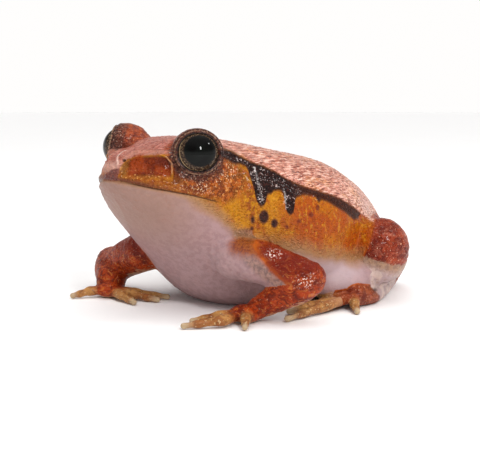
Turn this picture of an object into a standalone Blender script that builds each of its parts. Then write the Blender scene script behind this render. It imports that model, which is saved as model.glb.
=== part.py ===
"""A tomato frog as a life-size still model, sitting on the floor with its chest raised.

The frog faces -Y, its left side is at +X, and the floor is the plane z = 0. The body is modelled whole, from
a lofted trunk, tapered tubes for the limbs and digits, and balls for the eyes and palms. The pieces are
fused into one skin, and thin cuts part that skin into head, torso, arms, hands, thighs, shanks and feet.
"""

import math

import bmesh
import bpy
from mathutils import Matrix, Vector
from mathutils.kdtree import KDTree

MM = 0.001

# Driving dimensions, in millimetres
FRONT_Y = -40.85  # just behind the snout's tip; distances called back run from here towards the vent
SEAM = 0.3  # the gap that parts two nodes
VOXEL = 0.55  # the grain of the fused skin
SKIN_TRIANGLES = 7400
SOFTENING = 20  # passes that round the creases where two pieces meet
DIGIT_SOFTENING = 0.16  # share of that softening that the thin digits take
FLOOR_BLOCK = 8.0  # how deep the block under the floor reaches

# The trunk from snout to vent. Each row holds how far back it lies, the half width, the heights of the back,
# of the widest line and of the underside, and how square the upper half of the section is.
TRUNK = (
    (-1.8, 1.2, 33.2, 31.8, 30.2, 2.0),
    (-1.2, 2.9, 33.9, 31.0, 28.6, 2.2),
    (0.0, 5.0, 34.6, 30.1, 27.0, 2.2),
    (2.2, 8.0, 35.3, 29.0, 24.6, 2.2),
    (5.0, 10.9, 36.1, 28.0, 21.6, 2.2),
    (8.0, 13.1, 37.2, 27.2, 18.4, 2.2),
    (12.0, 15.2, 38.4, 26.2, 14.2, 2.3),
    (16.0, 16.8, 38.8, 24.8, 10.0, 2.3),
    (20.0, 18.0, 38.6, 23.2, 5.4, 2.3),
    (26.0, 20.6, 37.9, 20.8, 0.6, 2.2),
    (33.0, 23.8, 36.8, 18.6, -1.0, 2.2),
    (42.0, 26.0, 35.1, 16.8, -1.4, 2.2),
    (50.0, 25.2, 33.8, 15.9, -1.4, 2.2),
    (56.0, 23.2, 32.4, 15.2, -1.2, 2.2),
    (62.0, 20.0, 30.3, 14.8, -0.7, 2.1),
    (68.0, 16.6, 27.7, 14.4, 0.4, 2.1),
    (74.0, 12.8, 24.4, 14.2, 2.2, 2.0),
    (79.0, 9.0, 20.4, 13.8, 4.8, 2.0),
    (82.0, 5.6, 17.2, 13.2, 7.8, 2.0),
    (83.5, 2.4, 14.8, 12.8, 10.8, 2.0),
)
BELLY_SQUARENESS = 2.35
RINGS_PER_STATION = 3
RING_POINTS = 40

# Eyes: the ball's place and size, the way it looks, and the lids round it
EYE_SIDE = 11.75
EYE_BACK = 12.6
EYE_HEIGHT = {"left": 34.9, "right": 35.7}  # the head leans a little to its left
EYE_RADIUS = 4.9
GAZE = Vector((0.74, -0.64, 0.2)).normalized()
LID_THICKNESS = 0.8
LID_SETBACK = 0.3  # how far the lids' centre lies behind the ball's
LID_OPENING = (4.3, 3.95)  # half width and half height of the opening between the lids
LID_RIM = 0.4

# The canthus, the ridge from each eye to its nostril: side, back, height, radius
CANTHUS = ((10.2, 8.2, 34.6, 1.6), (7.7, 5.1, 34.2, 1.2), (5.0, 2.5, 34.0, 1.1), (2.6, 0.3, 33.5, 1.1))
# The fold that runs from behind each eye along the edge of the back
BACK_FOLD = (
    (12.4, 23.4, 34.6, 1.0), (17.0, 28.4, 31.6, 1.2), (20.6, 36.6, 28.2, 1.2), (23.0, 44.4, 24.8, 1.1),
    (23.2, 52.0, 21.2, 0.9),
)

# The line of the mouth from the middle to a corner: how far back, and the height
MOUTH_FRONT = (-1.3, 29.2)
MOUTH_CORNER = (17.4, 24.4)
MOUTH_GROOVE = 0.4
NOSTRIL = (3.3, -0.5, 33.9)
NOSTRIL_RADIUS = 0.6

# Limb joints of the left side, mirrored for the right: side, back, height, radius
THIGH = ((8.0, 72.0, 12.4, 6.8), (15.0, 65.6, 12.2, 6.6), (21.5, 60.0, 12.2, 6.5), (26.4, 56.0, 12.6, 7.0))
SHANK = ((26.6, 56.0, 9.2, 5.4), (23.4, 63.0, 9.2, 4.9), (18.8, 70.6, 8.6, 3.8), (15.0, 76.0, 7.0, 3.0))
TARSUS = {
    "left": ((14.8, 77.0, 4.3, 2.7), (20.4, 66.6, 2.4, 2.2), (26.4, 54.4, 2.0, 2.1), (27.2, 46.8, 2.5, 2.3)),
    "right": ((14.8, 77, 4.3, 2.7), (19.4, 69, 2.4, 2.2), (24.8, 60, 2.0, 2.1), (26.8, 53.4, 2.5, 2.3)),
}
# Each digit's knuckle and tip: side, back, side, back
TOES = {
    "left": (
        (24.0, 43.2, 20.6, 40.0), (23.6, 40.2, 20.2, 34.6), (24.6, 38.0, 22.4, 29.6),
        (27.0, 35.0, 27.4, 23.6), (30.0, 42.8, 32.8, 40.2),
    ),
    "right": (
        (23.4, 50.2, 20.2, 48.0), (22.8, 48.0, 19.6, 43.4), (23.4, 46.0, 20.2, 39.4),
        (25.6, 44.4, 22.8, 36.6), (29.4, 50.2, 32.2, 47.4),
    ),
}
UPPER_ARM = {
    "left": ((15.5, 20.5, 13, 5.2), (21.5, 21, 12.6, 4.7), (27, 22.8, 11.2, 4.2), (32.2, 24.8, 9.8, 3.7)),
    "right": ((15.5, 20.5, 11, 4.8), (21, 21.2, 9.2, 4.6), (26.8, 22.6, 7.2, 4.3), (31.8, 24, 6.2, 4.1)),
}
FOREARM = {
    "left": ((32, 24.8, 9.3, 3.7), (30, 24, 7.9, 3.8), (26.4, 22.4, 6, 3.3), (22.8, 20.4, 3.6, 2.5)),
    "right": ((32, 23.8, 6, 4.1), (30, 22, 5.2, 4.3), (27, 19.6, 4.2, 3.8), (24.2, 17.4, 3, 2.7)),
}
PALM = {"left": (21.2, 17.4, 1.9), "right": (22.0, 15.2, 1.9)}
FINGERS = {
    "left": ((17.4, 18.6, 14, 20.4), (18, 13, 15, 8), (21.8, 10, 17.4, 3.4), (24.6, 14, 27.2, 11.2)),
    "right": (
        (15.6, 17.8, 9.4, 22.4), (14.6, 16.0, 8.2, 18.4), (15.4, 13.4, 9.6, 12.6), (24.6, 11.4, 26.2, 7.6),
    ),
}
PALM_SIZE = (3.6, 3.4, 1.9)
ROOT_RADIUS = 1.5
KNUCKLE_RADIUS = 1.2
TIP_RADIUS = 0.95
KNUCKLE_HEIGHT = 1.4
TIP_HEIGHT = 0.8

# Seams. The neck's runs from under the throat to behind the eyes, and the hip's along the flank: back and
# height, then side and back. The knee's and ankle's are level cuts outside the hip's.
NECK_SEAM = ((13.0, 14.0), (29.0, 37.0))
NECK_SEAM_SIZE = (37, 52)
HIP_SEAM = ((27.6, 44.8), (8.0, 84.0))
HIP_SEAM_HEIGHTS = (4.8, 28.8)
LEG_SEAM_SIZE = (44, 18)
KNEE_SEAM_HEIGHT = 10.6
ANKLE_SEAM_HEIGHT = 5.2
ELBOW_SEAM = (29.0, 22.5)
ELBOW_SEAM_SIZE = (21, 14)
ELBOW_SEAM_DROP = 0.4
SHOULDER_SEAM_RADIUS = 6.8
WRIST_SEAM_RADIUS = 8.6

# Colours: red, green, blue, and roughness
SKIN_RED = (0.50, 0.10, 0.03, 0.35)
SKIN_ORANGE = (0.62, 0.22, 0.05, 0.35)
SKIN_TAN = (0.45, 0.26, 0.13, 0.4)
EYE_DARK = (0.01, 0.012, 0.01, 0.05)
SIDES = {"left": 1.0, "right": -1.0}


def at(side, back, height):
    """A point from its side, how far back it lies and its height, all in millimetres."""
    return Vector((side, FRONT_Y + back, height)) * MM


def curved(rows, steps):
    """Rows of numbers read along a smooth curve through them, in this many steps from row to row."""
    found = []
    for i in range(len(rows) - 1):
        before, after = rows[max(i - 1, 0)], rows[min(i + 2, len(rows) - 1)]
        for step in range(steps):
            t = step / steps
            row = []
            for a, b, c, d in zip(before, rows[i], rows[i + 1], after):
                slope_b, slope_c = (c - a) / 2, (d - b) / 2
                cubic = 2 * b - 2 * c + slope_b + slope_c
                square = 3 * c - 3 * b - 2 * slope_b - slope_c
                row.append(((cubic * t + square) * t + slope_b) * t + b)
            found.append(tuple(row))
    return [*found, tuple(rows[-1])]


def trunk_at(back):
    """The trunk's row at this distance back, between its stations."""
    rows = curved(TRUNK, 12)
    for low, high in zip(rows, rows[1:]):
        if back <= high[0]:
            t = (back - low[0]) / (high[0] - low[0])
            return tuple(a + (b - a) * t for a, b in zip(low, high))
    return rows[-1]


def trunk_half_width(back, height):
    """How far the trunk reaches to each side at this distance back and this height."""
    _, half_width, top, widest, bottom, squareness = trunk_at(back)
    reach = (height - widest) / (top - widest) if height > widest else (widest - height) / (widest - bottom)
    power = squareness if height > widest else BELLY_SQUARENESS
    return half_width * max(0.0, 1 - min(1.0, reach) ** power) ** (1 / power)


def clear_scene():
    for old in list(bpy.data.objects):
        bpy.data.objects.remove(old)


def collection(name):
    made = bpy.data.collections.new(name)
    bpy.context.scene.collection.children.link(made)
    return made


def object_from(bm, name, into):
    mesh = bpy.data.meshes.new(name)
    bm.to_mesh(mesh)
    bm.free()
    made = bpy.data.objects.new(name, mesh)
    into.objects.link(made)
    return made


def apply_modifiers(target):
    """Bakes an object's modifiers into its mesh."""
    bpy.context.view_layer.update()
    graph = bpy.context.evaluated_depsgraph_get()
    mesh = bpy.data.meshes.new_from_object(target.evaluated_get(graph))
    target.modifiers.clear()
    target.data = mesh


def loft_trunk(into):
    """The trunk as a loft of rings, each with a squarish upper half and a rounder belly."""
    bm = bmesh.new()
    rings = []
    for back, half_width, top, widest, bottom, squareness in curved(TRUNK, RINGS_PER_STATION):
        ring = []
        for i in range(RING_POINTS):
            angle = 2 * math.pi * i / RING_POINTS
            c, s = math.cos(angle), math.sin(angle)
            power = squareness if s > 0 else BELLY_SQUARENESS
            rise = top - widest if s > 0 else widest - bottom
            side = half_width * math.copysign(abs(c) ** (2 / power), c)
            height = widest + rise * math.copysign(abs(s) ** (2 / power), s)
            ring.append(bm.verts.new(at(side, back, height)))
        rings.append(ring)
    for one, other in zip(rings, rings[1:]):
        for i in range(RING_POINTS):
            j = (i + 1) % RING_POINTS
            bm.faces.new((one[i], one[j], other[j], other[i]))
    bm.faces.new(reversed(rings[0]))
    bm.faces.new(rings[-1])
    bmesh.ops.recalc_face_normals(bm, faces=bm.faces)
    return object_from(bm, "trunk", into)


def ball(name, centre, radii, into, segments=24):
    """An ellipsoid of these radii, with its centre in metres and its radii in millimetres."""
    bm = bmesh.new()
    place = Matrix.Translation(centre) @ Matrix.Diagonal((*[r * MM for r in radii], 1))
    bmesh.ops.create_uvsphere(bm, u_segments=segments, v_segments=segments // 2, radius=1, matrix=place)
    return object_from(bm, name, into)


def tube(name, joints, side, into, steps=6):
    """A tapered tube with round ends through joints of side, back, height and radius."""
    curve = bpy.data.curves.new(name, "CURVE")
    curve.dimensions = "3D"
    curve.bevel_depth = MM
    curve.bevel_resolution = 4
    curve.use_fill_caps = True
    rows = curved(joints, steps)
    spline = curve.splines.new("POLY")
    spline.points.add(len(rows) - 1)
    for point, (across, back, height, radius) in zip(spline.points, rows):
        point.co = (*at(side * across, back, height), 1)
        point.radius = radius
    made = bpy.data.objects.new(name, curve)
    into.objects.link(made)
    for across, back, height, radius in (joints[0], joints[-1]):
        ball(name + "_end", at(side * across, back, height), (radius,) * 3, into)
    return made


def digit(name, root, places, side, into):
    """A finger or toe from its root through its knuckle to its tip on the floor, thinner towards the tip."""
    knuckle, tip = places[:2], places[2:]
    bend = (*knuckle, KNUCKLE_HEIGHT, KNUCKLE_RADIUS)
    joints = ((*root[:3], ROOT_RADIUS), bend, (*tip, TIP_HEIGHT, TIP_RADIUS))
    tube(name, joints, side, into)
    return [at(side * across, back, height) for across, back, height, _ in curved(joints, 8)]


def gaze_of(side):
    return Vector((GAZE.x * side, GAZE.y, GAZE.z))


def eye_centre(word):
    return at(SIDES[word] * EYE_SIDE, EYE_BACK, EYE_HEIGHT[word])


def body_pieces(into):
    """Every piece of flesh, and the points along the digits, which the softening has to spare."""
    loft_trunk(into)
    digit_points = []
    for word, side in SIDES.items():
        lid_centre = eye_centre(word) - gaze_of(side) * LID_SETBACK * MM
        ball("lids_" + word, lid_centre, (EYE_RADIUS + LID_THICKNESS,) * 3, into)
        tube("canthus_" + word, CANTHUS, side, into)
        tube("back_fold_" + word, BACK_FOLD, side, into)
        tube("upper_arm_" + word, UPPER_ARM[word], side, into)
        tube("forearm_" + word, FOREARM[word], side, into)
        tube("thigh_" + word, THIGH, side, into)
        tube("shank_" + word, SHANK, side, into)
        tube("tarsus_" + word, TARSUS[word], side, into)
        palm = PALM[word]
        ball("palm_" + word, at(side * palm[0], *palm[1:]), PALM_SIZE, into)
        for places in FINGERS[word]:
            digit_points += digit("finger_" + word, palm, places, side, into)
        for places in TOES[word]:
            digit_points += digit("toe_" + word, TARSUS[word][-1], places, side, into)
    return digit_points


def joined(pieces, name, into):
    """One object with the meshes of a collection's objects, whose own objects are then removed."""
    bpy.context.view_layer.update()
    graph = bpy.context.evaluated_depsgraph_get()
    bm = bmesh.new()
    for piece in list(pieces.objects):
        mesh = bpy.data.meshes.new_from_object(piece.evaluated_get(graph))
        mesh.transform(piece.matrix_world)
        bm.from_mesh(mesh)
        bpy.data.meshes.remove(mesh)
        bpy.data.objects.remove(piece)
    bmesh.ops.remove_doubles(bm, verts=bm.verts, dist=1e-6)
    return object_from(bm, name, into)


def fused_skin(into):
    """All the flesh as one closed skin: remeshed over the pieces, softened, and thinned to few triangles."""
    pieces = collection("pieces")
    digit_points = body_pieces(pieces)
    skin = joined(pieces, "skin", into)
    bpy.data.collections.remove(pieces)

    remesh = skin.modifiers.new("fuse", "REMESH")
    remesh.mode = "VOXEL"
    remesh.voxel_size = VOXEL * MM
    apply_modifiers(skin)

    tree = KDTree(len(digit_points))
    for i, point in enumerate(digit_points):
        tree.insert(point, i)
    tree.balance()
    flesh = skin.vertex_groups.new(name="flesh")
    for vertex in skin.data.vertices:
        away = tree.find(vertex.co)[2] / MM
        share = min(1.0, max(DIGIT_SOFTENING, (away - 2.0) / 5.0))
        flesh.add([vertex.index], share, "REPLACE")
    soften = skin.modifiers.new("soften", "SMOOTH")
    soften.factor = 0.5
    soften.iterations = SOFTENING
    soften.vertex_group = "flesh"
    thin = skin.modifiers.new("thin", "DECIMATE")
    thin.ratio = SKIN_TRIANGLES / (2 * len(skin.data.polygons))
    thin.use_collapse_triangulate = True
    apply_modifiers(skin)
    return skin


def combine(target, tool, operation):
    """Applies a Boolean and removes its tool. The EXACT solver leaves open edges round the thin lids."""
    boolean = target.modifiers.new(operation.lower(), "BOOLEAN")
    boolean.operation = operation
    boolean.solver = "MANIFOLD"
    boolean.object = tool
    apply_modifiers(target)
    bpy.data.objects.remove(tool)


def turned_to(direction, centre):
    """A matrix that carries +Z to a direction and the origin to a centre."""
    return Matrix.Translation(centre) @ direction.to_track_quat("Z", "Y").to_matrix().to_4x4()


def cylinder(name, centre, direction, radius, depth, into, segments=24):
    bm = bmesh.new()
    bmesh.ops.create_cone(
        bm, cap_ends=True, segments=segments, radius1=radius * MM, radius2=radius * MM, depth=depth * MM,
        matrix=turned_to(direction, centre),
    )
    return object_from(bm, name, into)


def slab(name, centre, along, across, size, into):
    """A thin rectangular cutter. Along and across lie in its plane, and size is in millimetres."""
    normal = along.cross(across).normalized()
    across = normal.cross(along).normalized()
    axes = Matrix((along.normalized(), across, normal)).transposed().to_4x4()
    bm = bmesh.new()
    scale = Matrix.Diagonal((size[0] * MM, size[1] * MM, SEAM * MM, 1))
    bmesh.ops.create_cube(bm, size=1, matrix=Matrix.Translation(centre) @ axes @ scale)
    return object_from(bm, name, into)


def add_eyes(skin, parts, cutters):
    """Raises the lids' rims, hollows the sockets, and sets an eyeball in each."""
    for word, side in SIDES.items():
        gaze, centre = gaze_of(side), eye_centre(word)
        lid_radius = EYE_RADIUS + LID_THICKNESS
        half_width, half_height = LID_OPENING
        forward = math.sqrt(lid_radius**2 - half_width**2) - LID_SETBACK
        bpy.ops.mesh.primitive_torus_add(
            major_radius=(half_width + LID_RIM / 2) * MM,
            minor_radius=LID_RIM * MM,
            major_segments=28,
            minor_segments=6,
        )
        rim = bpy.context.object
        flatten = Matrix.Diagonal((1, half_height / half_width, 1, 1))
        rim.matrix_world = turned_to(gaze, centre + gaze * forward * MM) @ flatten
        combine(skin, rim, "UNION")
        opening = cylinder("opening", Vector(), Vector((0, 0, 1)), half_width, 10, cutters, 28)
        opening.matrix_world = turned_to(gaze, centre + gaze * 5 * MM) @ flatten
        combine(skin, opening, "DIFFERENCE")
        combine(skin, ball("socket", centre, (EYE_RADIUS + SEAM,) * 3, cutters, 28), "DIFFERENCE")
        eyeball = ball("eye_" + word, centre, (EYE_RADIUS,) * 3, parts, 24)
        eyeball.data.shade_smooth()


def cut_mouth(skin, cutters):
    """A groove round the front of the head along the line of the mouth."""
    curve = bpy.data.curves.new("mouth", "CURVE")
    curve.dimensions = "3D"
    curve.bevel_depth = MOUTH_GROOVE * MM
    curve.bevel_resolution = 1
    curve.use_fill_caps = True
    path = []
    stations = 14
    for i in range(stations + 1):
        share = (i / stations) ** 1.6
        back, height = (a + (b - a) * share for a, b in zip(MOUTH_FRONT, MOUTH_CORNER))
        path.append((trunk_half_width(back, height) - 0.1, back, height))
    whole = [(-side, back, height) for side, back, height in reversed(path)] + path
    spline = curve.splines.new("POLY")
    spline.points.add(len(whole) - 1)
    for point, place in zip(spline.points, whole):
        point.co = (*at(*place), 1)
    holder = collection("mouth_line")
    holder.objects.link(bpy.data.objects.new("mouth", curve))
    groove = joined(holder, "mouth_groove", cutters)
    bpy.data.collections.remove(holder)
    combine(skin, groove, "DIFFERENCE")


def cut_nostrils(skin, cutters):
    for side in SIDES.values():
        across, back, height = NOSTRIL
        outward = Vector((side * 0.55, -0.45, 0.7)).normalized()
        pit = cylinder("nostril", at(side * across, back, height), outward, NOSTRIL_RADIUS, 2.4, cutters, 10)
        combine(skin, pit, "DIFFERENCE")


def cut_floor(skin, cutters):
    """Takes off what lies under the floor, which leaves small flats at one level."""
    bm = bmesh.new()
    size = Matrix.Diagonal((0.2, 0.2, FLOOR_BLOCK * MM, 1))
    bmesh.ops.create_cube(bm, size=1, matrix=Matrix.Translation((0, 0, -FLOOR_BLOCK / 2 * MM)) @ size)
    combine(skin, object_from(bm, "floor_block", cutters), "DIFFERENCE")


def direction(start, end, side):
    """The way from one joint to the next on this side of the body."""
    return (at(side * end[0], *end[1:3]) - at(side * start[0], *start[1:3])).normalized()


def cut_neck(skin, cutters):
    (low_back, low), (high_back, high) = NECK_SEAM
    slope = direction((0, low_back, low), (0, high_back, high), 1)
    centre = at(0, (low_back + high_back) / 2, (low + high) / 2)
    combine(skin, slab("neck", centre, slope, Vector((1, 0, 0)), NECK_SEAM_SIZE, cutters), "DIFFERENCE")


def arm_seams(word, side, cutters):
    """The cuts at the shoulder, at the elbow, where the folded arm is parted level, and at the wrist."""
    upper, fore = UPPER_ARM[word], FOREARM[word]
    out = direction(upper[1], upper[2], side)
    down = direction(fore[2], fore[3], side)
    elbow = at(side * ELBOW_SEAM[0], ELBOW_SEAM[1], upper[3][2] - ELBOW_SEAM_DROP)
    shoulder = at(side * upper[1][0], *upper[1][1:3]) + out * 0.6 * MM
    wrist = at(side * fore[3][0], *fore[3][1:3]) - down * MM
    return [
        cylinder("shoulder", shoulder, out, SHOULDER_SEAM_RADIUS, SEAM, cutters),
        slab("elbow", elbow, Vector((1, 0, 0)), Vector((0, 1, 0)), ELBOW_SEAM_SIZE, cutters),
        cylinder("wrist", wrist, down, WRIST_SEAM_RADIUS, SEAM, cutters),
    ]


def leg_seams(side, cutters):
    """The upright cut along the flank, and the level ones between thigh, shank and foot outside it."""
    (front_side, front), (rear_side, rear) = HIP_SEAM
    low, high = HIP_SEAM_HEIGHTS
    along = direction((front_side, front, 0), (rear_side, rear, 0), side)
    out = Vector((side * abs(along.y), abs(along.x), 0))
    middle_side, middle_back = side * (front_side + rear_side) / 2, (front + rear) / 2
    step_out = out * (LEG_SEAM_SIZE[1] / 2 - 0.1) * MM
    hip = at(middle_side, middle_back, (low + high) / 2)
    seams = [slab("hip", hip, along, Vector((0, 0, 1)), (LEG_SEAM_SIZE[0], high - low), cutters)]
    for name, height in (("knee", KNEE_SEAM_HEIGHT), ("ankle", ANKLE_SEAM_HEIGHT)):
        centre = at(middle_side, middle_back, height) + step_out
        seams.append(slab(name, centre, along, out, LEG_SEAM_SIZE, cutters))
    return seams


def cut_seams(skin, cutters):
    """Parts the skin with thin cuts at the neck and at each joint of the limbs."""
    cut_neck(skin, cutters)
    for word, side in SIDES.items():
        for seam in arm_seams(word, side, cutters) + leg_seams(side, cutters):
            combine(skin, seam, "DIFFERENCE")


def middle(points):
    return sum(points, Vector()) / len(points)


def part_places():
    """Where the middle of each part lies, to tell the cut pieces apart."""
    places = {"head": at(0, 12, 28), "torso": at(0, 42, 17)}
    for word, side in SIDES.items():
        limbs = {
            "upper_arm_": UPPER_ARM[word][1:],
            "forearm_": FOREARM[word],
            "thigh_": THIGH[1:],
            "shank_": SHANK,
            "foot_": TARSUS[word][1:],
        }
        for kind, joints in limbs.items():
            places[kind + word] = middle([at(side * joint[0], *joint[1:3]) for joint in joints])
        knuckles = [at(side * place[0], place[1], KNUCKLE_HEIGHT) for place in FINGERS[word]]
        places["hand_" + word] = middle(knuckles)
    return places


def closed_pieces(bm):
    """The mesh's closed pieces as sets of vertices, the largest first."""
    left, pieces = set(bm.verts), []
    while left:
        reached = {left.pop()}
        edge_of = set(reached)
        while edge_of:
            edge_of = {edge.other_vert(v) for v in edge_of for edge in v.link_edges} - reached
            reached |= edge_of
        left -= reached
        pieces.append(reached)
    return sorted(pieces, key=len, reverse=True)


def name_the_parts(skin, parts):
    """Splits the cut skin into its closed pieces and names each from the place its middle is nearest to."""
    places = part_places()
    bm = bmesh.new()
    bm.from_mesh(skin.data)
    for piece in closed_pieces(bm)[: len(places)]:
        centre = middle([vertex.co for vertex in piece])
        name = min(places, key=lambda kind: (places[kind] - centre).length)
        del places[name]
        alone = bm.copy()
        keep = {vertex.index for vertex in piece}
        bmesh.ops.delete(alone, geom=[v for v in alone.verts if v.index not in keep], context="VERTS")
        object_from(alone, name, parts)
    bm.free()
    bpy.data.objects.remove(skin)


def add_material(name, colour):
    material = bpy.data.materials.new(name)
    material.use_nodes = True
    shader = material.node_tree.nodes["Principled BSDF"]
    shader.inputs["Base Color"].default_value = (*colour[:3], 1)
    shader.inputs["Roughness"].default_value = colour[3]
    shader.inputs["Metallic"].default_value = 0.0
    return material


def paint(parts):
    colours = {
        "head": SKIN_ORANGE,
        "torso": SKIN_ORANGE,
        "upper_arm": SKIN_RED,
        "forearm": SKIN_RED,
        "thigh": SKIN_RED,
        "shank": SKIN_RED,
        "hand": SKIN_TAN,
        "foot": SKIN_TAN,
        "eye": EYE_DARK,
    }
    for part in parts.objects:
        kind = part.name.removesuffix("_left").removesuffix("_right")
        part.data.materials.clear()
        part.data.materials.append(add_material(part.name + "_finish", colours[kind]))
        part.data.shade_smooth()
        part.data.set_sharp_from_angle(angle=math.radians(40))


def build():
    clear_scene()
    parts = collection("tomato_frog")
    cutters = collection("cutters")
    skin = fused_skin(parts)
    add_eyes(skin, parts, cutters)
    cut_mouth(skin, cutters)
    cut_nostrils(skin, cutters)
    cut_floor(skin, cutters)
    cut_seams(skin, cutters)
    name_the_parts(skin, parts)
    paint(parts)


build()
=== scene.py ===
# %% [markdown]
# # A tomato frog
# The solids carry the frog's shape, parted into named pieces. Here they are dressed: one fine, unbroken
# skin takes the place of all the flesh, each eye becomes an iris, a pupil and a clear front, and every
# marking is painted by the skin's own material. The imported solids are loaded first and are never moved.

# %% Load the frame
import math
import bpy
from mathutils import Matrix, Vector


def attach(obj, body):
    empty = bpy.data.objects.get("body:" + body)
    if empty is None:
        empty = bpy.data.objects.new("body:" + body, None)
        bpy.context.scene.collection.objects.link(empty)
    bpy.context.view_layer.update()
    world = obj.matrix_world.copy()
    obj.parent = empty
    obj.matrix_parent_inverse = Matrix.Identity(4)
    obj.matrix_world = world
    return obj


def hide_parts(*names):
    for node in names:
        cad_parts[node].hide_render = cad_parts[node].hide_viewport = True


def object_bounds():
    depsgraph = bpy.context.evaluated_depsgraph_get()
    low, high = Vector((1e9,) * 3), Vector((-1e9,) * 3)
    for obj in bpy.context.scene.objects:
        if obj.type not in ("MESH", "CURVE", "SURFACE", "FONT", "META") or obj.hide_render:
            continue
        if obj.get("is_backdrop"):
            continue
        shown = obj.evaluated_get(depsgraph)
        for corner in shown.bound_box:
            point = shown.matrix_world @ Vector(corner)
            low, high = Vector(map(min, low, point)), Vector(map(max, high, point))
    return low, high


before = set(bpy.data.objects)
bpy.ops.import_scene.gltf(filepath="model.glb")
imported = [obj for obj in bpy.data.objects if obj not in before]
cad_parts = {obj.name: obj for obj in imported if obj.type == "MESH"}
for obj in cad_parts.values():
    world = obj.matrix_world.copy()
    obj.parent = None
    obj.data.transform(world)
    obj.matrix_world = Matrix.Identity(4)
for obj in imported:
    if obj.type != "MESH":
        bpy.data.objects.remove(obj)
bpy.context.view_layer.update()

from types import SimpleNamespace

import bmesh
import bpy
import numpy as np
from mathutils import Matrix, Vector, noise
from mathutils.kdtree import KDTree

# %% [markdown]
# ## Camera
# The photograph looks at the frog's left cheek from a little above its head. Its viewing angle, a long
# lens close to the floor, could be guessed and nudged, but it is set here from the view's bearing, its
# slope and the distance at which an animal of this length fills the frame.

# %% Camera
def linked(name, data):
    """A new object that holds this data, linked to the scene."""
    made = bpy.data.objects.new(name, data)
    bpy.context.collection.objects.link(made)
    return made


LENS = 77.6
CAMERA_PLACE = (0.171, -0.17485, 0.045)
BEARING = 45
DOWNWARD_SLOPE = 6.83
camera_data = bpy.data.cameras.new("camera")
camera_data.lens = LENS
camera_data.sensor_width = 36.0
camera_data.clip_start = 0.01
camera = linked("camera", camera_data)
camera.location = CAMERA_PLACE
camera.rotation_euler = (math.radians(90 - DOWNWARD_SLOPE), 0, math.radians(BEARING))
bpy.context.scene.camera = camera
print("camera at", [round(c, 3) for c in camera.location])

# %% [markdown]
# ## Writing materials as sums
# A material is a graph of nodes, and drawing it by hand hides the sum that it works out. This small class
# wraps one socket, so that `1 - mask` or `a * b` adds the Math nodes for it. Any other node comes from
# `node`, which takes its type, its settings and then its sockets' values or links. Colours are mixed with
# Mix nodes, because a Math node would turn them grey.


# %% Sockets that can be added and multiplied
class Value:
    """One output socket of a material. Python's operators on it add Math nodes."""

    def __init__(self, tree, socket=None):
        self.tree = tree
        self.socket = socket

    def node(self, kind, settings=None, inputs=None, output=0):
        made = self.tree.nodes.new("ShaderNode" + kind)
        for name, value in (settings or {}).items():
            setattr(made, name, value)
        for name, value in (inputs or {}).items():
            if isinstance(value, Value):
                self.tree.links.new(value.socket, made.inputs[name])
            else:
                made.inputs[name].default_value = value
        return Value(self.tree, made.outputs[output])

    def math(self, operation, first, second):
        return self.node("Math", {"operation": operation}, {0: first, 1: second})

    def __add__(self, other):
        return self.math("ADD", self, other)

    def __radd__(self, other):
        return self.math("ADD", other, self)

    def __sub__(self, other):
        return self.math("SUBTRACT", self, other)

    def __rsub__(self, other):
        return self.math("SUBTRACT", other, self)

    def __mul__(self, other):
        return self.math("MULTIPLY", self, other)

    def least(self, other):
        return self.math("MINIMUM", self, other)

    def most(self, other):
        return self.math("MAXIMUM", self, other)

    def step(self, low, high):
        """0 below low, 1 above high and a smooth rise between; low may be the larger, for a fall."""
        limits = {"Value": self, "From Min": low, "From Max": high}
        return self.node("MapRange", {"interpolation_type": "SMOOTHSTEP"}, limits)


# %% Colours, measured marks, grain and painted glints
def tone(code):
    """A colour from six hexadecimal digits, as the linear values that a shader takes."""
    parts = [int(code[i : i + 2], 16) / 255 for i in (0, 2, 4)]
    return (*[c / 12.92 if c <= 0.04045 else ((c + 0.055) / 1.055) ** 2.4 for c in parts], 1.0)


def mixed(first, second, share):
    """Two colours or colour codes mixed, by a share that runs from 0 for the first to 1 for the second."""
    first, second = (tone(c) if isinstance(c, str) else c for c in (first, second))
    return share.node("Mix", {"data_type": "RGBA"}, {0: share, 6: first, 7: second}, 2)


def layered(ground, *coats):
    """Coats of colour laid over a ground in turn, each by the share of it that shows."""
    for colour, share in coats:
        ground = mixed(ground, colour, share)
    return ground


def marked(start, name):
    """A measure kept on the skin's points, such as the millimetres into the black band."""
    return start.node("Attribute", {"attribute_name": name}, None, 2)


def millimetres(start):
    """The place on the object, in millimetres, so that a texture's scale is its count per millimetre."""
    place = start.node("TexCoord", output=3)
    return start.node("VectorMath", {"operation": "SCALE"}, {0: place, 3: 1000.0})


def clouds(place, per_mm, detail=2.0, roughness=0.5):
    inputs = {"Vector": place, "Scale": per_mm, "Detail": detail, "Roughness": roughness}
    return place.node("TexNoise", None, inputs)


def stretched(place, ways):
    """The place scaled by its own number in each way, which draws a texture out where it is small."""
    return place.node("VectorMath", {"operation": "MULTIPLY"}, {0: place, 1: ways})


def cells(place, per_mm):
    """The distance from the middle of each cell of a random mosaic."""
    return place.node("TexVoronoi", None, {"Vector": place, "Scale": per_mm})


def painted_glints(place, per_mm, share):
    """Small crooked flecks of painted glint, the sparkle of wet warts, covering roughly this share of the
    skin.
    """
    flecks = clouds(place, per_mm, 1.0, 0.6)
    return flecks.step(0.70 - share * 0.4, 0.77 - share * 0.4)


def new_material(name):
    """A material, its Principled shader and a value to start its sums from."""
    material = bpy.data.materials.new(name)
    material.use_nodes = True
    shader = material.node_tree.nodes["Principled BSDF"]
    return material, shader, Value(material.node_tree)


def feed(value, shader, name):
    value.tree.links.new(value.socket, shader.inputs[name])


print("sample colour:", [round(c, 3) for c in tone("c8866f")])

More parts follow.
